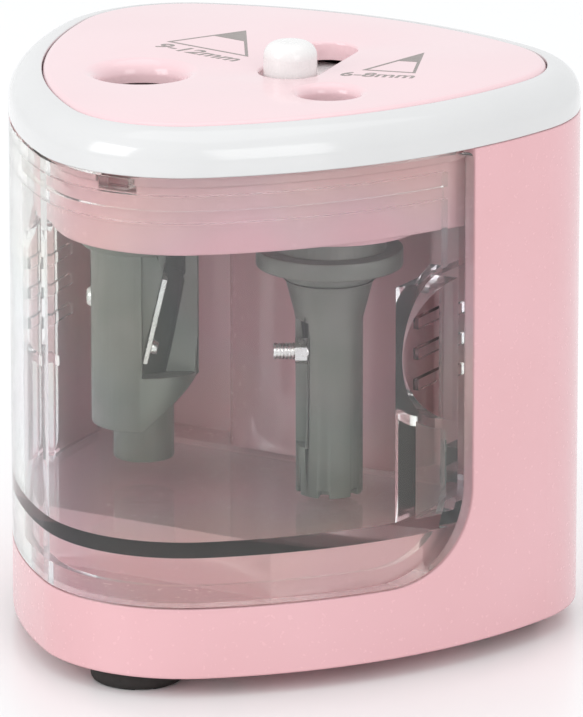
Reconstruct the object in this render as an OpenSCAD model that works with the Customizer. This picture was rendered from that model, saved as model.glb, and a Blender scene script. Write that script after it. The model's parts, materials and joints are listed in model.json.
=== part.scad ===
// Battery pencil sharpener with two pencil holes, a selector slider and a clear waste drawer.
// Front is -Y, right is +X, up is +Z. The origin is on the standing surface, under the middle.

/* [Casing outline] */
// Radius of the three rounded corners
corner_r = 24; // [22:0.5:26]
// Distance from the outline's centre to each corner's centre
corner_spread = 26; // [25:0.5:27]
// Distance from the outline's centre back to the centre of each long side's arc
side_spread = 44; // [40:1:48]
// Wall thickness of the housing
wall = 2.2; // [1.8:0.1:2.6]

/* [Heights] */
// Underside of the housing
base_z = 3.2; // [2.5:0.1:3.5]
// Top face of the base band that the drawer stands over
ledge_z = 14.6; // [14.4:0.1:15]
// Top of the raised battery deck
deck_z = 22.2; // [22:0.1:22.6]
// Lower edge of the head skirt
skirt_z = 71; // [70.6:0.1:72]
// Lower edge of the trim ring
ring_z = 84.2; // [84.1:0.1:84.5]
// Top of the pink top plate
plate_z = 91.6; // [91.4:0.1:92]
// Top of the selector knob
knob_z = 96.4; // [95:0.1:97]

/* [Pencil holes] */
// Middle of the hole for large pencils
large_at = [-14, -11.3];
// Middle of the hole for small pencils
small_at = [18.5, -8.2];
// Guide bore radius for large pencils
large_bore_r = 6.6; // [6.3:0.1:6.7]
// Guide bore radius for small pencils
small_bore_r = 4.4; // [4.2:0.1:4.5]

/* [Drawer] */
// Where the drawer's outer wall ends, front to back
drawer_end_y = -3.3; // [-4:0.1:-3]
// Wall thickness of the drawer
drawer_wall = 2; // [1.6:0.1:2.2]
// Radius of the drawer's rear bottom corner
drawer_corner_r = 14.5; // [12:0.5:16]
// Outer face of the drawer's straight side walls
bin_side_x = 36; // [35:0.1:36.5]
// Rear edge of the drawer's floor
bin_end_y = 9.5; // [8:0.1:10]
// Radius of the round finger grips
grip_r = 12; // [10:0.5:13]

/* [Drive] */
// Module of the cutter gears
coarse_module = 0.8; // [0.8:0.8]
// Module of the motor stage
fine_module = 0.5; // [0.5:0.5]
// Teeth of each cutter gear
cutter_teeth = 30; // [30:30]
// Teeth of the idler gear
idler_teeth = 20; // [20:20]
// Teeth of the compound gear's small wheel
small_teeth = 12; // [12:12]
// Teeth of the compound gear's large wheel
large_teeth = 42; // [42:42]
// Teeth of the motor pinion
pinion_teeth = 10; // [10:10]
// Middle of the motor
motor_at = [0, 27.5];
// Radius of the motor can
motor_r = 13.85; // [12:0.05:13.85]
// Length of the motor can
motor_l = 37.8; // [30:0.1:38]

/* [Selector] */
// Middle of the slot's front end
slot_front = [6.4, 0.35];
// Middle of the slot's rear end
slot_rear = [4.1, 16.4];
// Half width of the slot
slot_r = 4.9; // [4.8:0.1:5.2]
// Radius of the knob
knob_r = 4.3; // [4:0.1:4.4]
// Radius of the knob's top edge
knob_edge_r = 2.4; // [1:0.1:3.6]

/* [Hidden] */
$fn = 96;

pink = [0.91, 0.74, 0.76];
pale_pink = [0.97, 0.86, 0.88];
ivory = [0.94, 0.94, 0.92];
olive_grey = [0.46, 0.47, 0.43];
steel = [0.76, 0.77, 0.78];

gap = 0.3;
over = 1;
side_r = norm([side_spread * sin(60), corner_spread + side_spread * cos(60)]) + corner_r;
mid_y = (corner_spread + corner_r - (side_r - side_spread)) / 2;
side_half_a = asin(corner_spread * sin(60) / (side_r - corner_r));

battery_front_y = -18.4;
battery_l = 54.8;
battery_half_w = 29.6;
cell_r = 7.25;
cell_pitch = 14.7;
cell_z = 12.9;
platform_front_y = -30.6;
platform_rear_y = 50;
platform_half_w = 35.7;
platform_r = 6;
door_hinge_y = battery_front_y + 1.1;
door_hinge_z = 4.2;
door_pin_r = 0.7;

feet = [[[0, -36.5], 7.5], [[-36, 19], 5.2], [[36, 19], 5.2]];
foot_sink = 1;
foot_lip = 2.2;
base_screws_at = [[-38, 6], [38, 6], [-14.5, -33.5], [14.5, -33.5]];

column_at = [0, 30];
column_r = 19;
flank_y = 25;
case_floor_z = 70.4;
case_floor_top_z = 72.2;
head_top_z = 84;
cover_top_z = 85.6;
slider_z = 86;
slider_top_z = 87.6;
plate_under_z = 88.6;
plate_inset = 5.5;
gear_z = 72.5;
gear_h = 5;
fine_z = 77.9;
fine_h = 2.8;
gear_tip = 0.8;
gear_root = 1.1;

cover_ears = [[-26, 3], [29, 5], [-15, 28], [15, 28]];
ear_roots = [large_at, small_at, motor_at, motor_at];
head_screws_at = [[-24, 33], [24, 33]];

cutter_gear_r = cutter_teeth * coarse_module / 2;
idler_r = idler_teeth * coarse_module / 2;
small_r = small_teeth * coarse_module / 2;
large_r = large_teeth * fine_module / 2;
pinion_r = pinion_teeth * fine_module / 2;
idler_at = meeting_point(large_at, cutter_gear_r + idler_r, small_at, cutter_gear_r + idler_r);
compound_at = meeting_point(idler_at, idler_r + small_r, motor_at, large_r + pinion_r);

// The angles that set each wheel's teeth into the gaps of the wheel that drives it
large_gear_a = 0;
idler_a = mesh_angle(large_at, cutter_teeth, large_gear_a, idler_at, idler_teeth);
small_gear_a = mesh_angle(idler_at, idler_teeth, idler_a, small_at, cutter_teeth);
compound_a = mesh_angle(idler_at, idler_teeth, idler_a, compound_at, small_teeth);
pinion_a = mesh_angle(compound_at, large_teeth, 0, motor_at, pinion_teeth);

large_yaw = 30;
small_yaw = 30;
large_hub_r = 7.9;
small_hub_r = 6;
running = 0.06;
hub_z = 64.2;
holder_top_z = 70.1;
large_stem_z = 28.3;
large_foot_z = 34.3;
large_seat_z = 42.5;
small_stem_z = 26.4;

// Seat of the screw in the side of the large cutter, before it is turned
side_screw_at = [-8.1, 1, 54.4];

slot_dir = (slot_rear - slot_front) / norm(slot_rear - slot_front);
knob_at = slot_front + slot_dir * 0.4;

switch_at = [30, 21.6, 25.5];
grip_y = -3.6;
grip_z = 52.2;

// Points along the outline, each with its outward direction
arc_steps = 10;
ring_path = [
    for (k = [0:2], side = [0, 1], i = [0:arc_steps - 1])
        let(
            half = side == 0 ? 60 - side_half_a : side_half_a,
            a = 120 * k + 60 * side - half + 2 * half * i / arc_steps
        )
        [
            side == 0 ? corner_at(k) + corner_r * around(a) : side_at(k) + side_r * around(a),
            around(a)
        ]
];

function around(a) = [sin(a), -cos(a)];
function corner_at(k) = [0, mid_y] + corner_spread * around(120 * k);
function side_at(k) = [0, mid_y] - side_spread * around(60 + 120 * k);

// The point at distance a from p and b from q, on the left of the way from p to q
function meeting_point(p, a, q, b) =
    let(
        d = norm(q - p),
        along = (a * a - b * b + d * d) / (2 * d),
        across = sqrt(a * a - along * along),
        u = (q - p) / d
    )
    p + along * u + across * [-u[1], u[0]];

// Turn of wheel b that puts it in mesh with wheel a, which is turned by a_turn
function mesh_angle(a_at, a_teeth, a_turn, b_at, b_teeth) =
    let(
        line = atan2(b_at[1] - a_at[1], b_at[0] - a_at[0]),
        phase = (line - a_turn) * a_teeth / 360
    )
    line + 180 - 360 / b_teeth * (0.5 - phase);

// ---- Outline helpers ----

// The casing's outline seen from above, moved in by inset
module outline(inset = 0) {
    for (k = [0:2]) {
        translate(corner_at(k)) circle(corner_r - inset);
        intersection() {
            translate(side_at(k)) circle(side_r - inset);
            polygon([
                [0, mid_y],
                corner_at(k),
                corner_at(k) + 2 * corner_r * around(60 + 120 * k - side_half_a),
                corner_at(k + 1) + 2 * corner_r * around(60 + 120 * k + side_half_a),
                corner_at(k + 1)
            ]);
        }
    }
}

// A band of the wall: from inset to inset + thick, and from z0 to z1
module band(inset, thick, z0, z1) {
    difference() {
        slab(inset, z0, z1);
        slab(inset + thick, z0 - over, z1 + over);
    }
}

module slab(inset, z0, z1) {
    translate([0, 0, z0]) linear_extrude(z1 - z0) outline(inset);
}

// Everything in front of end_y between two heights, with rounded rear corners
module side_window(end_y, z0, z1, low_r, high_r) {
    reach = 120;
    rotate([90, 0, 90]) linear_extrude(reach, center = true) difference() {
        translate([end_y - reach, z0]) square([reach, z1 - z0]);
        translate([end_y - low_r, z0 + low_r]) corner_waste(low_r, -1);
        translate([end_y - high_r, z1 - high_r]) corner_waste(high_r, 1);
    }
}

// What lies between a quarter circle and its square corner
module corner_waste(r, up) {
    if (r > 0) difference() {
        translate([0, up > 0 ? 0 : -r - over]) square([r + over, r + over]);
        circle(r);
    }
}

module rounded_box(x0, x1, y0, y1, z0, z1, r) {
    translate([0, 0, z0]) linear_extrude(z1 - z0) {
        translate([x0 + r, y0]) square([x1 - x0 - 2 * r, y1 - y0]);
        translate([x0, y0 + r]) square([x1 - x0, y1 - y0 - 2 * r]);
        for (x = [x0 + r, x1 - r], y = [y0 + r, y1 - r]) translate([x, y]) circle(r);
    }
}

module block(x0, x1, y0, y1, z0, z1) {
    translate([x0, y0, z0]) cube([x1 - x0, y1 - y0, z1 - z0]);
}

module rod(at, r, z0, z1) {
    translate([at[0], at[1], z0]) cylinder(r = r, h = z1 - z0);
}

module cone(at, r0, r1, z0, z1) {
    translate([at[0], at[1], z0]) cylinder(r1 = r0, r2 = r1, h = z1 - z0);
}

// A slot with round ends; its sides are a hair narrower, so they cross the end circles cleanly
module stadium(a, b, r) {
    u = (b - a) / norm(b - a);
    side = 0.998 * r * [-u[1], u[0]];
    translate(a) circle(r);
    translate(b) circle(r);
    polygon([a + side, a - side, b - side, b + side]);
}

// ---- Gears ----

// Toothed outline with straight-sided stub teeth and a little backlash
module teeth(count, m) {
    r = count * m / 2;
    pitch = 360 / count;
    polygon([
        for (k = [0:count - 1], p = [[-0.34, -gear_root], [-0.225, 0], [-0.12, gear_tip],
                                     [0.12, gear_tip], [0.225, 0], [0.34, -gear_root]])
            (r + p[1] * m) * [cos((k + p[0]) * pitch), sin((k + p[0]) * pitch)]
    ]);
}

module wheel(at, count, m, turn, z0, z1) {
    translate([at[0], at[1], z0]) linear_extrude(z1 - z0) rotate(turn) teeth(count, m);
}

// The space for the gears, seen from above; grow adds the wall around it
module gear_room(grow) {
    for (p = [
        [large_at, cutter_gear_r + 1.2], [small_at, cutter_gear_r + 1.2],
        [idler_at, idler_r + 1.4], [compound_at, large_r + 1.1], [motor_at, 10.8]
    ])
        translate(p[0]) circle(p[1] + grow);
}

// ---- Housing and base ----

module main_housing() {
    color(pink) difference() {
        union() {
            difference() {
                union() {
                    housing_shell();
                    slab(wall - 0.2, ledge_z - 2, ledge_z);
                    behind_drawer() platform(0, ledge_z - 1, deck_z);
                    inside_walls(wall - 0.2) bay_back();
                    for (p = head_screws_at) rod(p, 3.4, deck_z - 1, head_top_z - 2);
                    for (p = base_screws_at) rod(p, 3.4, base_z + 2, ledge_z - 1);
                }
                inside_walls(drawer_wall + 3.2) platform(2, base_z, deck_z - 2);
                inside_walls(wall)
                    rod(column_at, column_r - wall, deck_z, case_floor_z + over);
            }
            behind_drawer() battery_block(1.6, base_z + 2.2, deck_z - 1);
        }
        battery_block(0, 0, deck_z - 2);
        rod([0, 40.5], 1.6, ledge_z, deck_z + over);
        for (p = head_screws_at) rod(p, 1.3, head_top_z - 16, head_top_z);
        for (p = base_screws_at) rod(p, 1.3, base_z, ledge_z - 2);
    }
}

// Keeps what lies inside the outline moved in by inset
module inside_walls(inset) {
    intersection() {
        slab(inset, 0, knob_z);
        children();
    }
}

// Keeps what lies inside the drawer's wall, and inside the housing's own wall further back
module behind_drawer() {
    intersection() {
        union() {
            slab(drawer_wall + 1.4, 0, knob_z);
            intersection() {
                slab(wall - 0.2, 0, knob_z);
                block(-60, 60, drawer_end_y + 1, 60, 0, knob_z);
            }
        }
        children();
    }
}

// Raised deck over the batteries, made smaller all round by less
module platform(less, z0, z1) {
    rounded_box(
        -platform_half_w + less, platform_half_w - less, platform_front_y + less,
        platform_rear_y - less, z0, z1, platform_r - less
    );
}

// The space for the four cells, made larger all round by more
module battery_block(more, z0, z1) {
    block(
        -battery_half_w - more, battery_half_w + more,
        battery_front_y - more, battery_front_y + battery_l + more, z0, z1
    );
}

module housing_shell() {
    difference() {
        band(0, wall, base_z, ring_z);
        side_window(drawer_end_y + gap, ledge_z, ring_z + 10, drawer_corner_r, 0);
    }
}

// Motor column and the two flat walls beside it that close the back of the drawer's bay
module bay_back() {
    rod(column_at, column_r, deck_z - 2, case_floor_z - 0.2);
    block(-50, 50, flank_y, flank_y + 2, deck_z - 2, case_floor_z - 0.2);
}

module base_plate() {
    color(pink) difference() {
        slab(wall + gap, base_z, base_z + 2);
        battery_block(0, 0, deck_z);
        for (side = [-1, 1])
            translate([side * (battery_half_w + 0.7), door_hinge_y, door_hinge_z])
                rotate([0, 90, 0]) cylinder(r = door_pin_r + 0.05, h = 1.8, center = true);
        for (f = feet) rod(f[0], f[1] - foot_lip + 0.05, 0, base_z + foot_sink);
        for (p = base_screws_at) {
            rod(p, 1.7, 0, base_z + 3);
            cone(p, 3.2, 1.7, base_z - 0.01, base_z + 1.5);
        }
    }
}

module battery_door() {
    x = battery_half_w - gap;
    y1 = battery_front_y + battery_l - gap;
    color(pink) difference() {
        union() {
            block(-x, x, door_hinge_y, y1, door_hinge_z - 0.8, door_hinge_z + 0.8);
            translate([0, door_hinge_y, door_hinge_z]) rotate([0, 90, 0])
                cylinder(r = 0.8, h = 2 * x, center = true);
            translate([0, door_hinge_y, door_hinge_z]) rotate([0, 90, 0])
                cylinder(r = door_pin_r, h = 2 * (battery_half_w + 1.2), center = true);
        }
        for (k = [0:3]) block(-7, 7, y1 - 8 + 1.6 * k, y1 - 7.2 + 1.6 * k, 0, door_hinge_z - 0.4);
    }
}

module battery_cells() {
    color([0.16, 0.2, 0.3]) for (k = [0:3]) {
        x = (k - 1.5) * cell_pitch;
        flip = k % 2;
        y0 = battery_front_y + (flip ? 0.8 : 3.5);
        translate([x, y0, cell_z]) rotate([-90, 0, 0]) {
            translate([0, 0, flip ? 1 : 0]) cylinder(r = cell_r, h = 49.5);
            translate([0, 0, flip ? 0 : 49]) cylinder(r = 2.7, h = 1.5);
        }
    }
}

module battery_springs() {
    color(steel) for (k = [0:3]) {
        x = (k - 1.5) * cell_pitch;
        flip = k % 2;
        y0 = flip ? battery_front_y + battery_l - 3.3 : battery_front_y + 0.6;
        translate([x, y0, cell_z]) rotate([-90, 0, 0]) difference() {
            cylinder(r1 = flip ? 3 : 4.2, r2 = flip ? 4.2 : 3, h = 2.7);
            translate([0, 0, -0.01])
                cylinder(r1 = flip ? 2 : 3.2, r2 = flip ? 3.2 : 2, h = 2.72);
        }
    }
}

module battery_contacts() {
    y1 = battery_front_y + battery_l;
    color(steel) {
        for (x = [-cell_pitch, cell_pitch])
            block(x - 12.5, x + 12.5, battery_front_y + 0.1, battery_front_y + 0.5, 7, 18.5);
        block(-12.5, 12.5, y1 - 0.5, y1 - 0.1, 7, 18.5);
        for (x = [-1.5 * cell_pitch, 1.5 * cell_pitch])
            block(x - 5, x + 5, y1 - 0.5, y1 - 0.1, 7, 18.5);
    }
}

module rubber_feet() {
    color([0.13, 0.11, 0.1]) for (f = feet) {
        cone(f[0], f[1] - 0.6, f[1], 0, 0.6);
        rod(f[0], f[1], 0.6, base_z);
        rod(f[0], f[1] - foot_lip, base_z - 0.1, base_z + foot_sink);
    }
}

module countersunk_screw(at, top_z, length, up) {
    translate([at[0], at[1], top_z]) mirror([0, 0, up ? 0 : 1]) {
        difference() {
            cylinder(r1 = 3, r2 = 1.5, h = 1.5);
            for (a = [0, 90]) rotate(a) translate([-1.6, -0.3, -0.1]) cube([3.2, 0.6, 0.8]);
        }
        translate([0, 0, 1.4]) cylinder(r = 1.3, h = length - 1.4);
    }
}

module base_screws() {
    color(steel) for (p = base_screws_at) countersunk_screw(p, base_z + 0.1, 9, true);
}

// ---- Head ----

module head_housing() {
    color(pink) difference() {
        union() {
            slab(drawer_wall + 1.4, head_top_z - 2, head_top_z);
            intersection() {
                band(4, 2, skirt_z, head_top_z - 1);
                block(-60, 60, -60, 2, 0, 100);
            }
            translate([0, 0, case_floor_z]) linear_extrude(head_top_z - case_floor_z)
                intersection() {
                    gear_room(1.6);
                    outline(4);
                }
            for (p = cover_ears) rod(p, 3, case_floor_z + 6, head_top_z);
        }
        translate([0, 0, case_floor_top_z]) linear_extrude(20) intersection() {
            gear_room(0);
            outline(5.6);
        }
        rod(large_at, large_hub_r + running, 0, 100);
        rod(small_at, small_hub_r + running, 0, 100);
        rod(motor_at, 5, 0, 100);
        for (x = [-8, 8]) rod(motor_at + [x, 0], 1.6, 0, 100);
        for (p = [idler_at, compound_at]) rod(p, 1, case_floor_z + 0.6, 100);
        for (p = cover_ears) rod(p, 1.35, head_top_z - 6, 100);
        for (p = head_screws_at) rod(p, 1.6, 0, 100);
        block(-3.3, 3.3, -60, -38.4, 80.8, 100);
    }
}

module head_screws() {
    color(steel) for (p = head_screws_at) difference() {
        union() {
            rod(p, 1.28, head_top_z - 12, head_top_z + 0.1);
            rod(p, 2.7, head_top_z, head_top_z + 1.4);
        }
        for (a = [0, 90])
            translate([p[0], p[1], head_top_z + 0.7]) rotate(a)
                translate([-1.6, -0.3, 0]) cube([3.2, 0.6, 1]);
    }
}

module gear_cover() {
    color(ivory) difference() {
        union() {
            translate([0, 0, head_top_z]) linear_extrude(cover_top_z - head_top_z) {
                intersection() {
                    gear_room(1.4);
                    outline(6.5);
                }
                for (k = [0:3])
                    stadium(cover_ears[k], cover_ears[k] * 0.4 + ear_roots[k] * 0.6, 4);
            }
            rod(large_at, large_bore_r + 1.6, gear_z + gear_h + 0.3, cover_top_z);
            rod(small_at, small_bore_r + 1.6, gear_z + gear_h + 0.3, cover_top_z);
            for (p = [idler_at, compound_at]) rod(p, 2.4, fine_z + fine_h + 0.3, cover_top_z);
        }
        rod(large_at, large_bore_r, 0, 100);
        rod(small_at, small_bore_r, 0, 100);
        for (p = [idler_at, compound_at]) rod(p, 1, 0, cover_top_z - 0.6);
        for (p = cover_ears) {
            rod(p, 1.65, 0, 100);
            cone(p, 1.65, 3.2, cover_top_z - 1.55, cover_top_z + 0.01);
        }
    }
}

module cover_screws() {
    color(steel) for (p = cover_ears) countersunk_screw(p, cover_top_z - 0.05, 6, false);
}

module trim_ring() {
    bend = 5;
    bend_z = plate_z - 0.3 - bend;
    color(ivory) loft_ring(concat(
        [[-wall - 1, ring_z], [0, ring_z]],
        [for (a = [0:15:90]) [-bend + bend * cos(a), bend_z + bend * sin(a)]],
        [
            [-plate_inset + 0.15, plate_z - 0.3], [-plate_inset + 0.15, plate_under_z],
            [-plate_inset - 1.9, plate_under_z], [-plate_inset - 1.9, plate_under_z - 1.7],
            [-wall - 1, plate_under_z - 1.7]
        ]
    ));
}

// A closed band around the casing with the given profile: x outward from the outline, y up
module loft_ring(profile) {
    rings = len(ring_path);
    n = len(profile);
    polyhedron(
        points = [
            for (p = ring_path, q = profile)
                [p[0][0] + q[0] * p[1][0], p[0][1] + q[0] * p[1][1], q[1]]
        ],
        faces = [
            for (i = [0:rings - 1], j = [0:n - 1])
                [
                    i * n + j, i * n + (j + 1) % n,
                    (i + 1) % rings * n + (j + 1) % n, (i + 1) % rings * n + j
                ]
        ]
    );
}

module top_plate() {
    color(pale_pink) difference() {
        union() {
            slab(plate_inset, plate_under_z, plate_z);
            rod(large_at, large_bore_r + 2.2, plate_under_z - 0.6, plate_z - 1);
            rod(small_at, small_bore_r + 2, plate_under_z - 0.6, plate_z - 1);
        }
        pencil_mouth(large_at, large_bore_r + 0.2, 2.6);
        pencil_mouth(small_at, small_bore_r + 0.2, 1.7);
        translate([0, 0, plate_under_z - over]) linear_extrude(10)
            stadium(slot_front, slot_rear, slot_r);
    }
}

// A bore with a rounded rim, which meets the plate's top at a slight angle
module pencil_mouth(at, r, rim) {
    bell_z = plate_z - 0.93 * rim;
    translate([at[0], at[1], 0]) rotate_extrude() difference() {
        translate([0, plate_under_z - 2]) square([r + rim, plate_z - plate_under_z + 2 + over]);
        translate([r + rim, bell_z]) circle(rim);
        translate([r, plate_under_z - 3]) square([rim + 1, bell_z - plate_under_z + 3]);
    }
}

module selector_slider() {
    color(ivory) difference() {
        union() {
            translate([0, 0, slider_z]) linear_extrude(slider_top_z - slider_z) {
                intersection() {
                    outline(8.2);
                    translate([-27, -40]) square([56, 48]);
                }
                translate([-1.5, 0]) square([14.5, 22.5]);
            }
            translate([knob_at[0], knob_at[1], slider_top_z - 0.1]) rotate_extrude() barrel();
        }
        rod(large_at, large_bore_r + 0.6, 0, 100);
        rod(small_at, small_bore_r + 0.6, 0, 100);
    }
}

// Half section of the knob, with a rounded top edge
module barrel() {
    top = knob_z - slider_top_z + 0.1;
    square([knob_r, top - knob_edge_r]);
    translate([0, top - knob_edge_r]) {
        square([knob_r - knob_edge_r, knob_edge_r]);
        intersection() {
            translate([knob_r - knob_edge_r, 0]) circle(knob_edge_r);
            square([knob_r, knob_edge_r]);
        }
    }
}

// ---- Drive train ----

module gear_axles() {
    color(steel) for (p = [idler_at, compound_at]) rod(p, 0.99, case_floor_z + 0.7, cover_top_z - 0.7);
}

module idler_gear() {
    color([0.85, 0.85, 0.83]) difference() {
        wheel(idler_at, idler_teeth, coarse_module, idler_a, gear_z, gear_z + gear_h);
        rod(idler_at, 1.04, 0, 100);
        rod(idler_at, idler_r - 2, gear_z + gear_h - 1, 100);
    }
}

module compound_gear() {
    color([0.9, 0.88, 0.8]) difference() {
        union() {
            wheel(compound_at, small_teeth, coarse_module, compound_a, gear_z, fine_z + 0.1);
            wheel(compound_at, large_teeth, fine_module, 0, fine_z, fine_z + fine_h);
        }
        rod(compound_at, 1.04, 0, 100);
        for (a = [0:60:300])
            rod(compound_at + 7.3 * around(a), 1.7, 0, 100);
    }
}

module cutter_gear(at, bore_r, hub_r, turn) {
    difference() {
        union() {
            wheel(at, cutter_teeth, coarse_module, turn, gear_z, gear_z + gear_h);
            rod(at, hub_r, hub_z, gear_z + 0.1);
        }
        rod(at, bore_r, 0, 100);
    }
}

module large_cutter_gear() {
    color([0.88, 0.88, 0.86]) cutter_gear(large_at, large_bore_r + 0.2, large_hub_r, large_gear_a);
}

module small_cutter_gear() {
    color([0.88, 0.88, 0.86]) cutter_gear(small_at, small_bore_r + 0.2, small_hub_r, small_gear_a);
}

// ---- Motor ----

module motor_can() {
    z1 = case_floor_z;
    z0 = z1 - motor_l;
    color(steel) difference() {
        union() {
            rod(motor_at, motor_r, z0, z1);
            rod(motor_at, 4.9, z1 - 0.1, z1 + 1.6);
        }
        rod(motor_at, motor_r - 0.9, z0 - over, z1 - 1.2);
        rod(motor_at, 1.2, 0, 100);
        for (x = [-8, 8]) rod(motor_at + [x, 0], 1.25, z1 - 3, 100);
    }
}

module motor_magnets() {
    z1 = case_floor_z - 5;
    color([0.22, 0.22, 0.23]) for (side = [0, 180])
        translate([motor_at[0], motor_at[1], z1 - 24]) rotate(side - 55)
            rotate_extrude(angle = 110) translate([9.9, 0]) square([2.9, 24]);
}

module motor_end_cap() {
    z0 = case_floor_z - motor_l;
    color([0.2, 0.2, 0.22]) difference() {
        union() {
            rod(motor_at, motor_r - 1, z0 - 0.2, z0 + 2.4);
            rod(motor_at, 5, z0 - 2.2, z0);
        }
        rod(motor_at, 1.2, 0, z0 + 10);
        for (x = [-9, 9])
            block(motor_at[0] + x - 1.6, motor_at[0] + x + 1.6, motor_at[1] - 0.4, motor_at[1] + 0.4, 0, 60);
    }
}

module motor_terminals() {
    z0 = case_floor_z - motor_l;
    color([0.8, 0.65, 0.3]) for (x = [-9, 9])
        block(motor_at[0] + x - 1.5, motor_at[0] + x + 1.5, motor_at[1] - 0.3, motor_at[1] + 0.3, z0 - 5, z0 + 4);
}

module motor_rotor() {
    z1 = case_floor_z;
    color([0.6, 0.45, 0.35]) {
        rod(motor_at, 1.15, z1 - motor_l - 2, fine_z + fine_h + 0.4);
        rod(motor_at, 3.6, z1 - 34, z1 - 30);
        difference() {
            rod(motor_at, 9.4, z1 - 28, z1 - 6);
            for (a = [0:120:240])
                translate([motor_at[0], motor_at[1], z1 - 30]) rotate(a)
                    translate([5, -1.2, 0]) cube([6, 2.4, 30]);
        }
    }
}

module motor_pinion() {
    color([0.85, 0.7, 0.35]) difference() {
        wheel(motor_at, pinion_teeth, fine_module, pinion_a, fine_z - 0.4, fine_z + fine_h + 0.4);
        rod(motor_at, 1.15, 0, 100);
    }
}

module motor_screws() {
    color(steel) for (x = [-8, 8]) {
        rod(motor_at + [x, 0], 1.23, case_floor_z - 2.6, case_floor_top_z + 0.1);
        rod(motor_at + [x, 0], 2.2, case_floor_top_z, case_floor_top_z + 1.4);
    }
}

// ---- Cutters ----

module turned(at, yaw) {
    translate([at[0], at[1], 0]) rotate(yaw) children();
}

module large_cutter_holder() {
    color(olive_grey) turned(large_at, large_yaw) difference() {
        union() {
            rod([0, 0], 10.2, 63.8, holder_top_z);
            difference() {
                union() {
                    rod([0, 0], 8.6, large_foot_z, 64);
                    block(0, 8.9, -0.5, 6, 37, 64);
                }
                large_ledge();
            }
            rod([0, 0], 4.95, large_stem_z, 46);
        }
        rod([0, 0], large_hub_r, hub_z, 100);
        rod([0, 0], large_bore_r + 0.2, 58, 100);
        cone([0, 0], 1.4, large_bore_r + 0.2, 31, 58.01);
        rod([0, 0], 1.4, 0, 32);
        large_seat();
        translate(side_screw_at) rotate([0, -90, 0]) cylinder(r = 2.3, h = 3);
    }
}

// The recess that leaves the blade and the inside of the cone open, with its sloping blade wall
module large_seat() {
    difference() {
        translate([0, -1.2, large_seat_z]) rotate([-7, 0, 0]) translate([0, -14, 0]) cube([14, 14, 20]);
        on_blade_wall() translate([-6, -6, 0]) cube([6, 12, 24]);
    }
}

// The sloping underside of the body beside the stem
module large_ledge() {
    translate([0, -12, large_foot_z]) rotate([0, -41, 0]) translate([-1, 0, -20]) cube([22, 24, 20]);
}

// Moves its children onto the wall that holds the blade: x out of it and z up it
module on_blade_wall() {
    translate([0, 0, 45.5]) rotate([7, 13, 0]) children();
}

module large_cutter_blade() {
    color(steel) turned(large_at, large_yaw) on_blade_wall() difference() {
        translate([0.05, -6.6, 0.6]) cube([0.8, 3, 15]);
        translate([-1, -5.1, 3.1]) rotate([0, 90, 0]) cylinder(r = 0.85, h = 4);
    }
}

module large_cutter_screws() {
    color(steel) turned(large_at, large_yaw) {
        on_blade_wall() translate([0.85, -5.1, 3.1]) rotate([0, 90, 0]) {
            cylinder(r1 = 1.5, r2 = 1.1, h = 1.1);
            translate([0, 0, -0.78]) cylinder(r = 0.75, h = 0.9);
        }
        translate(side_screw_at) rotate([0, -90, 0]) cylinder(r1 = 2, r2 = 1.3, h = 1.2);
    }
}

module small_cutter_holder() {
    color(olive_grey) turned(small_at, small_yaw) difference() {
        union() {
            rod([0, 0], 9, 66, holder_top_z);
            rod([0, 0], 11.6, 63.7, 66.6);
            rod([0, 0], 7, 61.5, 64);
            cone([0, 0], 5.3, 7, 55, 61.6);
            rod([0, 0], 5.3, small_stem_z, 55.1);
        }
        rod([0, 0], small_hub_r, hub_z, 100);
        rod([0, 0], small_bore_r + 0.2, 56, 100);
        cone([0, 0], 0.9, small_bore_r + 0.2, 29, 56.01);
        rod([0, 0], 0.9, 0, 30);
        translate([-9, -8, 34.5]) cube([5.6, 8, 20.5]);
        small_seat();
        for (a = [20:60:320]) rotate(a) translate([3, -0.8, small_stem_z - over]) cube([4, 1.6, 2.2]);
        translate([-10, -2.9, 50.2]) rotate([0, 90, 0]) cylinder(r = 1.25, h = 8.2);
    }
}

// The flat at the back that the small blade lies on
module small_seat() {
    translate([-8, 1.6, 32]) rotate([-7, 0, 0]) cube([16, 8, 20]);
}

module small_cutter_blade() {
    color(steel) turned(small_at, small_yaw)
        translate([-3.2, 1.65, 32]) rotate([-7, 0, 0]) translate([0, 0.05, 1.5]) cube([6.4, 0.8, 18]);
}

module small_cutter_screw() {
    color(steel) turned(small_at, small_yaw) translate([-8.8, -2.9, 50.2]) rotate([0, 90, 0]) {
        cylinder(r = 1.2, h = 6.6);
        for (k = [0:5]) translate([0, 0, 0.15 + 0.55 * k]) {
            cylinder(r1 = 1.2, r2 = 1.45, h = 0.2);
            translate([0, 0, 0.2]) cylinder(r1 = 1.45, r2 = 1.2, h = 0.2);
        }
    }
}

module small_cutter_nut() {
    color(steel) turned(small_at, small_yaw) translate([-5.4, -2.9, 50.2]) rotate([0, 90, 0])
        difference() {
            cylinder(r = 2.1, h = 1.9, $fn = 6);
            translate([0, 0, -over]) cylinder(r = 1.22, h = 5);
        }
}

// ---- Switch ----

module drawer_switch() {
    color([0.15, 0.15, 0.16]) difference() {
        block(switch_at[0] - 6.4, switch_at[0] + 6.4, switch_at[1] - 3.2, flank_y, deck_z, deck_z + 5.8);
        translate([switch_at[0], switch_at[1], switch_at[2]]) rotate([90, 0, 0])
            cylinder(r = 1.25, h = 20, center = true);
    }
}

module switch_plunger() {
    color([0.75, 0.2, 0.18]) translate([switch_at[0], switch_at[1] + 2, switch_at[2]])
        rotate([90, 0, 0]) cylinder(r = 1.2, h = 6.2);
}

// ---- Drawer ----

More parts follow.
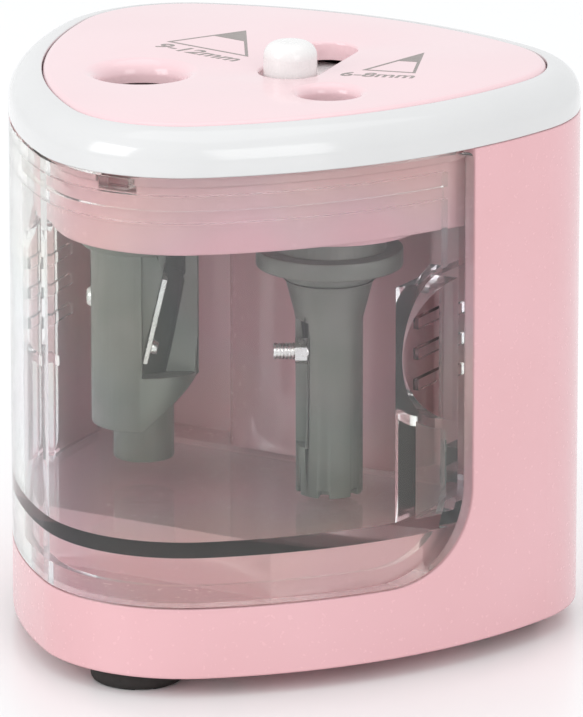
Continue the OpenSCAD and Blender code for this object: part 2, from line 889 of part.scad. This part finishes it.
module drawer() {
    color([0.8, 0.76, 0.76, 0.45]) {
        difference() {
            union() {
                intersection() {
                    drawer_shell();
                    drawer_window(0);
                }
                bin_inside();
                for (side = [-1, 1]) grip_return(side);
            }
            for (side = [-1, 1]) grip_cut(side);
        }
        for (side = [-1, 1], k = [-1:1]) grip_ridge(side, grip_z + 5 * k);
        block(-2.5, 2.5, -44.6, -39, 81.4, 83.6);
        block(switch_at[0] - 2, switch_at[0] + 2, bin_end_y - 0.2, 17, deck_z + gap, deck_z + 4.8);
    }
}

module drawer_window(shrink) {
    side_window(
        drawer_end_y - shrink, ledge_z + gap + shrink, ring_z - gap - shrink,
        drawer_corner_r - shrink, max(1.5 - shrink, 0)
    );
}

// Outer wall with its stiffening rib, the thicker band round its edge and the floor's rim
module drawer_shell() {
    low = ledge_z + gap;
    high = ring_z - gap;
    band(0, drawer_wall, low, high);
    band(drawer_wall - 0.1, 0.9, 76.5, 78.5);
    difference() {
        band(drawer_wall - 0.1, 1.1, low, high);
        drawer_window(3);
    }
    slab(drawer_wall - 0.1, deck_z + gap, deck_z + 2.9);
}

// Floor and straight side walls that run back inside the housing
module bin_inside() {
    intersection() {
        slab(1, deck_z + gap, 64);
        union() {
            block(-bin_side_x, bin_side_x, -21, bin_end_y, deck_z + gap, deck_z + 2.9);
            for (side = [-1, 1])
                translate([side > 0 ? bin_side_x - 1.8 : -bin_side_x, -30, deck_z + gap])
                    cube([1.8, bin_end_y + 30, 41]);
        }
    }
}

module grip_disc(side, r, x0, x1) {
    translate([side * (x0 + x1) / 2, grip_y, grip_z]) rotate([0, 90, 0])
        cylinder(r = r, h = x1 - x0, center = true);
}

module grip_return(side) {
    intersection() {
        slab(0.5, 30, 75);
        drawer_window(3);
        grip_disc(side, grip_r + 1.6, bin_side_x - 0.5, 60);
    }
}

module grip_cut(side) {
    intersection() {
        drawer_window(3);
        grip_disc(side, grip_r, bin_side_x, 60);
    }
}

module grip_ridge(side, z) {
    translate([side * (bin_side_x + 0.35) - 0.55, -12, z - 0.9]) cube([1.1, 11.5, 1.8]);
}

main_housing();
base_plate();
battery_door();
battery_cells();
battery_springs();
battery_contacts();
rubber_feet();
base_screws();
head_housing();
head_screws();
gear_cover();
cover_screws();
trim_ring();
top_plate();
selector_slider();
gear_axles();
idler_gear();
compound_gear();
motor_can();
motor_magnets();
motor_end_cap();
motor_terminals();
motor_rotor();
motor_pinion();
motor_screws();
large_cutter_gear();
large_cutter_holder();
large_cutter_blade();
large_cutter_screws();
small_cutter_gear();
small_cutter_holder();
small_cutter_blade();
small_cutter_screw();
small_cutter_nut();
drawer_switch();
switch_plunger();
drawer();
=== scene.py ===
"""Looks of the battery pencil sharpener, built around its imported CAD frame."""
import json
import math

import bmesh
import bpy
from mathutils import Matrix, Vector, geometry


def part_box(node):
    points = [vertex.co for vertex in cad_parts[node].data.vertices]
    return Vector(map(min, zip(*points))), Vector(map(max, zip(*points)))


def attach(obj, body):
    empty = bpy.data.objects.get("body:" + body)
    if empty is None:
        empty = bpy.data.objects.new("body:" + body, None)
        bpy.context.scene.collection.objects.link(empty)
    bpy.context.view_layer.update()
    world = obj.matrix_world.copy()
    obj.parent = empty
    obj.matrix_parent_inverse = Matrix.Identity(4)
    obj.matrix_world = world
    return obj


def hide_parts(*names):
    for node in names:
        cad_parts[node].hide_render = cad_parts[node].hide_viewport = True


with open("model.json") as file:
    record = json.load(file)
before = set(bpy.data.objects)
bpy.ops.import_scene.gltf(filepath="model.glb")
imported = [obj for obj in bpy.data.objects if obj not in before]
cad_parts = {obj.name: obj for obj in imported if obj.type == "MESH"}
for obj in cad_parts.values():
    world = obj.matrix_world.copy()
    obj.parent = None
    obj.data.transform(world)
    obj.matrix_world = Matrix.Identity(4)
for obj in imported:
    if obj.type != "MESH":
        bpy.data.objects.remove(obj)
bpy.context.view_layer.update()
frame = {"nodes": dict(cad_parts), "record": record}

MM = 0.001
HOUSING = "housing"

# The casing's outline: three rounded corners joined by three long arcs
CORNER_R = 24 * MM
CORNER_SPREAD = 26 * MM
SIDE_SPREAD = 44 * MM
SIXTY = math.radians(60)
SIDE_R = math.hypot(SIDE_SPREAD * math.sin(SIXTY), CORNER_SPREAD + SIDE_SPREAD * 0.5) + CORNER_R
SIDE_HALF = math.asin(CORNER_SPREAD * math.sin(SIXTY) / (SIDE_R - CORNER_R))
MID_Y = (CORNER_SPREAD + CORNER_R - (SIDE_R - SIDE_SPREAD)) / 2

PLATE_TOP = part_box("top_plate")[1][2]
RING_LOW, RING_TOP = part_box("trim_ring")[0][2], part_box("trim_ring")[1][2]
LARGE_AT = Vector((-14, -11.3)) * MM
SMALL_AT = Vector((18.5, -8.2)) * MM
SLOT_FRONT = Vector((6.4, 0.35)) * MM
SLOT_REAR = Vector((4.1, 16.4)) * MM
SLOT_R = 4.9 * MM
PLATE_INSET = 5.5 * MM
PLATE_UNDER = 88.6 * MM
LIP_LOW = 86.9 * MM
RING_WALL = 3.2 * MM
# Each pencil hole's middle, bore radius and mouth radius
HOLES = ((LARGE_AT, 6.8 * MM, 2.6 * MM), (SMALL_AT, 4.6 * MM, 1.7 * MM))
GUIDE_WALL = 1.6 * MM
GUIDE_DROP = 0.6 * MM


# ---------------------------------------------------------------- mesh helpers

def around(a):
    """Direction at angle a round the casing, from the front towards the right."""
    return Vector((math.sin(a), -math.cos(a)))


def outline_path(inset=0.0, steps=24):
    """Points along the outline moved in by inset, each with its outward direction."""
    path = []
    centre = Vector((0, MID_Y))
    for k in range(3):
        for side in (False, True):
            half = SIDE_HALF if side else SIXTY - SIDE_HALF
            middle = SIXTY * (2 * k + (1 if side else 0))
            at = centre - SIDE_SPREAD * around(middle) if side else centre + CORNER_SPREAD * around(middle)
            r = (SIDE_R if side else CORNER_R) - inset
            for i in range(steps):
                a = middle - half + 2 * half * i / steps
                path.append((at + r * around(a), around(a)))
    return path


def circle_path(at, r, steps=64):
    path = []
    for i in range(steps):
        a = 2 * math.pi * i / steps
        path.append((at + r * around(a), around(a)))
    return path


def stadium_path(a, b, r, steps=24):
    """Points round a slot with round ends."""
    along = (b - a).normalized()
    first = math.atan2(along.x, -along.y) + math.pi / 2
    path = []
    for at, start in ((b, first - math.pi), (a, first)):
        for i in range(steps + 1):
            t = start + math.pi * i / steps
            path.append((at + r * around(t), around(t)))
    return path


def arc(cx, cz, r, start, end, steps=8):
    """Profile points on a quarter or other arc, with angles in degrees."""
    turn = [math.radians(start + (end - start) * i / steps) for i in range(steps + 1)]
    return [(cx + r * math.cos(t), cz + r * math.sin(t)) for t in turn]


def add_loft(bm, path, profile, closed=True):
    """Sweeps a profile of (outward, up) points along a closed path."""
    rows = []
    for at, out in path:
        rows.append([bm.verts.new((at.x + x * out.x, at.y + x * out.y, z)) for x, z in profile])
    spans = len(profile) if closed else len(profile) - 1
    for i, row in enumerate(rows):
        after = rows[(i + 1) % len(rows)]
        for j in range(spans):
            k = (j + 1) % len(profile)
            bm.faces.new((row[j], after[j], after[k], row[k]))
    return rows


def add_flat(bm, loops, z):
    """A flat face at height z, bounded by the first loop and pierced by the others."""
    points = []
    edges = []
    for loop in loops:
        first = len(points)
        points += [Vector((p.x, p.y)) for p in loop]
        edges += [(first + i, first + (i + 1) % len(loop)) for i in range(len(loop))]
    verts, _, faces, _, _, _ = geometry.delaunay_2d_cdt(points, edges, [], 1, 1e-9)
    made = [bm.verts.new((v.x, v.y, z)) for v in verts]
    for face in faces:
        middle = sum((verts[i] for i in face), Vector((0, 0))) / len(face)
        if not any(inside(middle, hole) for hole in loops[1:]):
            bm.faces.new([made[i] for i in face])


def add_band(bm, outer, inner, low, high):
    """A flat raised line between two loops of the same number of points."""
    rows = [[bm.verts.new((p.x, p.y, z)) for p in loop] for loop, z in
            ((outer, low), (outer, high), (inner, high), (inner, low))]
    n = len(outer)
    for a, b in zip(rows, rows[1:] + rows[:1]):
        for i in range(n):
            bm.faces.new((a[i], a[(i + 1) % n], b[(i + 1) % n], b[i]))


def add_prism(bm, loop, low, high):
    below = [bm.verts.new((p.x, p.y, low)) for p in loop]
    above = [bm.verts.new((p.x, p.y, high)) for p in loop]
    bm.faces.new(below)
    bm.faces.new(above)
    for i, v in enumerate(below):
        j = (i + 1) % len(loop)
        bm.faces.new((v, below[j], above[j], above[i]))


def add_tube(bm, points, r, sides=8):
    """A round wire along a row of points, closed at both ends."""
    rows = []
    for i, p in enumerate(points):
        along = (points[min(i + 1, len(points) - 1)] - points[max(i - 1, 0)]).normalized()
        across = along.cross(Vector((0, 1, 0))).normalized()
        up = along.cross(across)
        turn = [2 * math.pi * k / sides for k in range(sides)]
        rows.append([bm.verts.new(p + r * (math.cos(t) * across + math.sin(t) * up)) for t in turn])
    for a, b in zip(rows, rows[1:]):
        for k in range(sides):
            bm.faces.new((a[k], a[(k + 1) % sides], b[(k + 1) % sides], b[k]))
    bm.faces.new(rows[0])
    bm.faces.new(rows[-1])


def inside(p, loop):
    hit = False
    for i, a in enumerate(loop):
        b = loop[i - 1]
        if (a.y > p.y) != (b.y > p.y) and p.x < (b.x - a.x) * (p.y - a.y) / (b.y - a.y) + a.x:
            hit = not hit
    return hit


def make_object(name, bm, material, body=HOUSING, smooth=True):
    bmesh.ops.remove_doubles(bm, verts=bm.verts, dist=0.002 * MM)
    bmesh.ops.recalc_face_normals(bm, faces=bm.faces)
    mesh = bpy.data.meshes.new(name)
    bm.to_mesh(mesh)
    bm.free()
    obj = bpy.data.objects.new(name, mesh)
    bpy.context.scene.collection.objects.link(obj)
    mesh.materials.append(material)
    for face in mesh.polygons:
        face.use_smooth = smooth
    if smooth:
        mesh.set_sharp_from_angle(angle=math.radians(35))
    if body:
        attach(obj, body)
    return obj


# ---------------------------------------------------------------- materials

def new_material(name):
    mat = bpy.data.materials.new(name)
    mat.use_nodes = True
    nodes = mat.node_tree.nodes
    return mat, nodes, mat.node_tree.links, nodes["Principled BSDF"]


def noise(nodes, links, scale, detail=3.0, rough=0.5):
    """Noise in object space; scale is in features per metre."""
    place = nodes.new("ShaderNodeTexCoord")
    tex = nodes.new("ShaderNodeTexNoise")
    tex.inputs["Scale"].default_value = scale
    tex.inputs["Detail"].default_value = detail
    tex.inputs["Roughness"].default_value = rough
    links.new(place.outputs["Object"], tex.inputs["Vector"])
    return tex.outputs["Fac"]


def ramp(nodes, links, fac, stops):
    node = nodes.new("ShaderNodeValToRGB")
    bar = node.color_ramp
    while len(bar.elements) < len(stops):
        bar.elements.new(0.5)
    for element, (at, colour) in zip(bar.elements, stops):
        element.position = at
        element.color = (*colour, 1)
    links.new(fac, node.inputs["Fac"])
    return node.outputs["Color"]


def spread(nodes, links, fac, low, high):
    node = nodes.new("ShaderNodeMapRange")
    node.inputs["From Min"].default_value = 0.3
    node.inputs["From Max"].default_value = 0.7
    node.inputs["To Min"].default_value = low
    node.inputs["To Max"].default_value = high
    links.new(fac, node.inputs["Value"])
    return node.outputs["Result"]


def bump(nodes, links, shader, fac, depth, strength, soft_edge=0.0):
    """Fine relief; soft_edge also eases the light round an edge over that distance."""
    node = nodes.new("ShaderNodeBump")
    if soft_edge:
        edge = nodes.new("ShaderNodeBevel")
        edge.samples = 4
        edge.inputs["Radius"].default_value = soft_edge
        links.new(edge.outputs["Normal"], node.inputs["Normal"])
    node.inputs["Distance"].default_value = depth
    node.inputs["Strength"].default_value = strength
    links.new(fac, node.inputs["Height"])
    links.new(node.outputs["Normal"], shader.inputs["Normal"])


# Features per metre of the fine grain on moulded plastic
MOULD_GRAIN = 1200


def moulded(name, dark, light, rough=(0.2, 0.28), coat=0.3, soft_edge=0.0):
    """Moulded plastic: slight clouding in the colour and a very fine surface grain."""
    mat, nodes, links, shader = new_material(name)
    cloud = noise(nodes, links, 45, 3)
    links.new(ramp(nodes, links, cloud, [(0.3, dark), (0.7, light)]), shader.inputs["Base Color"])
    fine = noise(nodes, links, MOULD_GRAIN, 2)
    links.new(spread(nodes, links, fine, *rough), shader.inputs["Roughness"])
    shader.inputs["Coat Weight"].default_value = coat
    shader.inputs["Coat Roughness"].default_value = 0.08
    bump(nodes, links, shader, fine, 0.01 * MM, 0.05, soft_edge)
    return mat


def metal(name, dark, light, rough=(0.25, 0.4), metallic=1.0, grain=900, depth=0.00003):
    mat, nodes, links, shader = new_material(name)
    cloud = noise(nodes, links, 160, 4)
    links.new(ramp(nodes, links, cloud, [(0.3, dark), (0.7, light)]), shader.inputs["Base Color"])
    shader.inputs["Metallic"].default_value = metallic
    fine = noise(nodes, links, grain, 4)
    links.new(spread(nodes, links, fine, *rough), shader.inputs["Roughness"])
    bump(nodes, links, shader, fine, depth, 0.25)
    return mat


def clear_plastic(name):
    """Clear polystyrene, faintly smoky, with the soft stress colours of a moulding."""
    mat, nodes, links, shader = new_material(name)
    flow = noise(nodes, links, 26, 1.5)
    tints = [
        (0.30, (0.99, 0.98, 0.98)), (0.42, (0.995, 0.965, 0.99)), (0.48, (0.96, 0.985, 0.995)),
        (0.54, (0.97, 0.995, 0.97)), (0.60, (0.995, 0.99, 0.955)), (0.70, (0.99, 0.98, 0.98)),
    ]
    links.new(ramp(nodes, links, flow, tints), shader.inputs["Base Color"])
    shader.inputs["Transmission Weight"].default_value = 0.965
    shader.inputs["Roughness"].default_value = 0.03
    shader.inputs["IOR"].default_value = 1.22
    fine = noise(nodes, links, 60, 1)
    bump(nodes, links, shader, fine, 0.00001, 0.05)
    return mat


def build_materials():
    white_dark, white_light = (0.67, 0.67, 0.67), (0.70, 0.70, 0.70)
    pink_dark, pink_light = (0.75, 0.425, 0.45), (0.77, 0.445, 0.475)
    pale_dark, pale_light = (0.85, 0.60, 0.63), (0.87, 0.625, 0.655)
    # The knob's white is a brighter copy of the trim white. This is painted light for the stronger light on
    # the knob, which is the same white plastic as the ring.
    knob_painted_light_dark, knob_painted_light_bright = (0.82, 0.81, 0.80), (0.85, 0.84, 0.83)
    cast_dark, cast_light = (0.15, 0.16, 0.135), (0.20, 0.205, 0.18)
    nylon_dark, nylon_light = (0.66, 0.65, 0.60), (0.72, 0.71, 0.66)
    black_dark, black_light = (0.02, 0.02, 0.022), (0.03, 0.03, 0.032)
    rubber_dark, rubber_light = (0.012, 0.01, 0.009), (0.02, 0.017, 0.015)
    copper_dark, copper_light = (0.45, 0.20, 0.09), (0.60, 0.28, 0.13)
    ink_dark, ink_light = (0.26, 0.23, 0.215), (0.30, 0.265, 0.25)
    return {
        "pink_shell": moulded("pink_abs", pink_dark, pink_light, soft_edge=0.5 * MM),
        "pale_plate": moulded("pale_pink_abs", pale_dark, pale_light, (0.1, 0.15), 0.5),
        "white_trim": moulded("white_abs", white_dark, white_light, (0.12, 0.2), 0.6),
        # Brighter copy of the white trim plastic for the selector knob: painted light
        "white_trim_painted_light": moulded("white_abs_knob_painted_light", knob_painted_light_dark, knob_painted_light_bright, (0.2, 0.3)),
        "clear_drawer": clear_plastic("clear_drawer_plastic"),
        "cutter_metal": metal("grey_cutter_casting", cast_dark, cast_light, (0.35, 0.5), 0.35),
        "bright_steel": metal("bright_steel", (0.62, 0.62, 0.60), (0.74, 0.74, 0.72), (0.2, 0.32)),
        "gear_nylon": moulded("natural_nylon", nylon_dark, nylon_light, (0.4, 0.5), 0.0),
        "black_plastic": moulded("black_plastic", black_dark, black_light, (0.35, 0.45)),
        "black_rubber": moulded("black_rubber", rubber_dark, rubber_light, (0.6, 0.75), 0.0),
        "brass_parts": metal("brass", (0.62, 0.42, 0.14), (0.72, 0.50, 0.20), (0.2, 0.35)),
        "copper_rotor": metal("copper_windings", copper_dark, copper_light, grain=3000),
        "cell_wrap": moulded("cell_wrap", (0.02, 0.03, 0.05), (0.03, 0.04, 0.07), (0.25, 0.35)),
        "magnet_grey": moulded("ferrite", (0.03, 0.03, 0.032), (0.05, 0.05, 0.052), (0.5, 0.65), 0.0),
        "mark_ink": moulded("grey_marking_ink", ink_dark, ink_light, (0.35, 0.45), 0.0),
        "red_plunger": moulded("red_plastic", (0.45, 0.03, 0.02), (0.5, 0.04, 0.03)),
    }


# ---------------------------------------------------------------- camera, light, floor

def look_at(obj, target):
    obj.rotation_euler = (target - obj.location).to_track_quat("-Z", "Y").to_euler()


def build_camera():
    azimuth = math.radians(30)
    elevation = math.radians(15.75)
    distance = 1.326
    right = Vector((math.cos(azimuth), math.sin(azimuth), 0))
    away = Vector((-math.sin(azimuth), math.cos(azimuth), 0)) * math.cos(elevation)
    away.z = -math.sin(elevation)
    up = right.cross(away)
    target = Vector((0, 4.36, 46.2)) * MM + 3.87 * MM * right - 3.7 * MM * up
    camera = bpy.data.objects.new("camera", bpy.data.cameras.new("camera"))
    camera.data.lens = 413.8
    camera.data.clip_end = 20
    camera.location = target - away * distance
    look_at(camera, target)
    bpy.context.scene.collection.objects.link(camera)
    bpy.context.scene.camera = camera


def area_light(name, at, target, size, power, colour=(1, 1, 1)):
    lamp = bpy.data.lights.new(name, "AREA")
    lamp.shape = "RECTANGLE"
    lamp.size, lamp.size_y = size
    lamp.energy = power
    lamp.color = colour
    obj = bpy.data.objects.new(name, lamp)
    obj.location = at
    look_at(obj, Vector(target))
    bpy.context.scene.collection.objects.link(obj)


def build_light():
    centre = (0, 0, 0.05)
    area_light("key", (-0.45, -0.85, 0.5), centre, (0.6, 0.6), 3.0)
    area_light("fill", (0.9, -0.5, 0.45), centre, (0.5, 0.7), 1.8)
    area_light("top", (0, 0.1, 1.0), centre, (0.8, 0.8), 1.0)
    world = bpy.data.worlds.new("studio")
    world.use_nodes = True
    back = world.node_tree.nodes["Background"]
    back.inputs["Color"].default_value = (0.95, 0.96, 0.97, 1)
    back.inputs["Strength"].default_value = 0.97
    bpy.context.scene.world = world
    bpy.context.scene.view_settings.view_transform = "Standard"
    paths = bpy.context.scene.cycles
    paths.sample_clamp_indirect = 3
    paths.max_bounces = 28
    paths.transmission_bounces = 28
    paths.diffuse_bounces = 6


def build_floor():
    """A plain pale floor, wide enough to reach past every view."""
    bm = bmesh.new()
    reach = 6
    bm.faces.new([bm.verts.new((x * reach, y * reach, 0)) for x, y in ((-1, -1), (1, -1), (1, 1), (-1, 1))])
    mat, nodes, links, shader = new_material("pale_floor")
    links.new(
        ramp(nodes, links, noise(nodes, links, 3, 2), [(0.3, (0.94, 0.94, 0.94)), (0.7, (0.95, 0.95, 0.95))]),
        shader.inputs["Base Color"],
    )
    shader.inputs["Roughness"].default_value = 0.25
    floor = make_object("floor", bm, mat, body=None)


# ---------------------------------------------------------------- top of the case

def build_ring(mats):
    """White trim ring: a low upright wall that rolls over into the top plate."""
    bm = bmesh.new()
    bend = 5 * MM
    low, top = RING_LOW, RING_TOP
    soft = 0.35 * MM
    mouth = -5.35 * MM
    lip = -7.4 * MM
    profile = [(-RING_WALL, low)]
    profile += arc(-soft, low + soft, soft, -90, 0, 5)
    profile += arc(-bend, top - bend, bend, 0, 82, 18)
    profile += arc(mouth + soft * 0.6, top - soft * 0.75, soft * 0.6, 60, 180, 5)
    profile += [(mouth, PLATE_UNDER), (lip, PLATE_UNDER), (lip, LIP_LOW), (-RING_WALL, LIP_LOW)]
    add_loft(bm, outline_path(steps=40), profile)
    ring = make_object("trim_ring_moulding", bm, mats["white_trim"])
    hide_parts("trim_ring")


def build_plate(mats):
    """Top plate with a rounded rim, two bell-mouthed pencil holes and the selector slot."""
    bm = bmesh.new()
    inset, under, top = PLATE_INSET, PLATE_UNDER, PLATE_TOP
    edge = 1.1 * MM
    rim = arc(-inset - edge, top - edge, edge, 0, 90, 8)
    add_loft(bm, outline_path(steps=40), [(-inset - edge, under), (-inset, under)] + rim, closed=False)
    foot = under - GUIDE_DROP
    above, below = [], []
    for at, bore, bell in HOLES:
        skirt = bore + GUIDE_WALL
        throat = [(skirt, under), (skirt, foot), (bore, foot), (bore, top - bell)]
        mouth = arc(bore + bell, top - bell, bell, 180, 90, 12)
        add_loft(bm, circle_path(at, 0, 96), throat + mouth[1:], closed=False)
        above.append([p for p, _ in circle_path(at, bore + bell, 96)])
        below.append([p for p, _ in circle_path(at, skirt, 96)])
    soft = 0.5 * MM
    slot = stadium_path(SLOT_FRONT, SLOT_REAR, SLOT_R)
    walls = [(0.0, under)] + arc(soft, top - soft, soft, 180, 90, 5)
    add_loft(bm, slot, walls, closed=False)
    above.append([p + soft * n for p, n in slot])
    below.append([p for p, _ in slot])
    outer = [p for p, _ in outline_path(inset + edge, 40)]
    add_flat(bm, [outer] + above, top)
    add_flat(bm, [outer] + below, under)
    plate = make_object("top_plate_moulding", bm, mats["pale_plate"])
    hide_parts("top_plate")


# ---------------------------------------------------------------- size marks

def corner_inset(points, distance):
    """Moves the corners of a loop that runs round to the left inwards by a distance."""
    moved = []
    for i, p in enumerate(points):
        a = (p - points[i - 1]).normalized()
        b = (points[(i + 1) % len(points)] - p).normalized()
        inward = Vector((-a.y - b.y, a.x + b.x)).normalized()
        moved.append(p + inward * distance / max(0.2, inward.dot(Vector((-a.y, a.x)))))
    return moved


def build_tip_mark(name, left, right, tip, mats):
    """A sharpened tip beside a hole: a triangle drawn as a line, with a solid point."""
    bm = bmesh.new()
    line = 0.5 * MM
    low, high = PLATE_TOP - 0.05 * MM, PLATE_TOP + 0.02 * MM
    outer = [left * MM, right * MM, tip * MM]
    inner = corner_inset(outer, line)
    add_band(bm, outer, inner, low, high)
    lead = 0.41
    point = [inner[2].lerp(inner[0], lead), inner[2].lerp(inner[1], lead), inner[2]]
    add_prism(bm, point, low, high - 0.004 * MM)
    make_object(name, bm, mats["mark_ink"], smooth=False)


def build_size_mark(name, words, at, angle, height, stretch, mats):
    """The pencil size in plain raised figures, with its lower left corner at a point."""
    curve = bpy.data.curves.new(name, "FONT")
    curve.body = words
    curve.size = height * MM / 0.7
    curve.shear = 0.22
    curve.space_character = 1.02
    curve.offset = 0.03 * height * MM
    curve.extrude = 0.035 * MM
    curve.resolution_u = 6
    holder = bpy.data.objects.new(name + "_curve", curve)
    bpy.context.scene.collection.objects.link(holder)
    shape = bpy.data.meshes.new_from_object(holder.evaluated_get(bpy.context.evaluated_depsgraph_get()))
    bm = bmesh.new()
    bm.from_mesh(shape)
    bpy.data.objects.remove(holder)
    bpy.data.curves.remove(curve)
    bpy.data.meshes.remove(shape)
    turn = Matrix.Rotation(math.radians(angle), 4, "Z") @ Matrix.Diagonal((stretch, 1, 1, 1))
    place = Matrix.Translation((at.x * MM, at.y * MM, PLATE_TOP - 0.015 * MM)) @ turn
    bmesh.ops.transform(bm, matrix=place, verts=bm.verts)
    make_object(name, bm, mats["mark_ink"], smooth=False)


def build_marks(mats):
    large = [Vector(p) for p in ((-20.7, 7.8), (-4.1, 5.4), (-13.5, 20.8))]
    small = [Vector(p) for p in ((16, 6.7), (24.4, 9.1), (18.9, 21.9))]
    build_tip_mark("large_tip_mark", *large, mats)
    build_tip_mark("small_tip_mark", *small, mats)
    build_size_mark("large_size_mark", "9-12mm", Vector((-21.3, 4.1)), -9, 2.8, 1.24, mats)
    build_size_mark("small_size_mark", "6-8mm", Vector((14.5, 1.7)), 20.9, 2.5, 1.16, mats)


# ---------------------------------------------------------------- batteries

def build_springs(mats):
    """Four conical wire springs at the minus ends of the cells."""
    low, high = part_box("battery_springs")
    wide = (high[2] - low[2]) / 2
    pitch = (high[0] - low[0] - 2 * wide) / 3
    wire = 0.35 * MM
    length = 2.7 * MM
    turns, steps = 3, 28
    bm = bmesh.new()
    for k in range(4):
        at_rear = k % 2
        foot = high[1] - wire if at_rear else low[1] + wire
        reach = -1 if at_rear else 1
        points = []
        for i in range(turns * steps + 1):
            t = i / (turns * steps)
            r = wide - wire - 1.2 * MM * t
            a = 2 * math.pi * turns * t
            along = foot + reach * (length - 2 * wire) * t
            middle = low[0] + wide + k * pitch
            points.append(Vector((middle + r * math.cos(a), along, (low[2] + high[2]) / 2 + r * math.sin(a))))
        add_tube(bm, points, wire)
    springs = make_object("battery_spring_coils", bm, mats["bright_steel"])
    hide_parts("battery_springs")


# ---------------------------------------------------------------- build

SOFT_EDGES = {
    "base_plate": 0.3, "battery_door": 0.3,
    "gear_cover": 0.25, "large_cutter_holder": 0.25, "small_cutter_holder": 0.25, "rubber_feet": 0.4,
    "large_cutter_blade": 0.1, "small_cutter_blade": 0.1, "large_cutter_screws": 0.15,
    "small_cutter_screw": 0.15, "motor_can": 0.3, "drawer_switch": 0.2,
}


def soften(obj, width):
    """Rounds the sharp edges of a CAD node a little, as a moulding has them."""
    weld = obj.modifiers.new("weld", "WELD")
    weld.merge_threshold = 0.002 * MM
    edge = obj.modifiers.new("edge", "BEVEL")
    edge.width = width * MM
    edge.segments = 2
    edge.limit_method = "ANGLE"
    edge.angle_limit = math.radians(40)
    edge.use_clamp_overlap = False
    edge.harden_normals = True
    edge.miter_outer = "MITER_ARC"


def dress_nodes(mats):
    """Gives every carried-over CAD node the finish of its slot, except the selector slider, which gets a
    brighter copy of the trim white as painted light.
    """
    for part in frame["record"]["subparts"]:
        obj = frame["nodes"][part["node"]]
        obj.data.materials.clear()
        # The selector slider takes the brighter copy of the trim white instead of its slot's finish: painted
        # light
        finish = "white_trim_painted_light" if part["node"] == "selector_slider" else part["material_slot"]
        obj.data.materials.append(mats[finish])
        if part["node"] in SOFT_EDGES:
            soften(obj, SOFT_EDGES[part["node"]])


build_camera()
build_light()
build_floor()
materials = build_materials()
dress_nodes(materials)
build_ring(materials)
build_plate(materials)
build_marks(materials)
build_springs(materials)
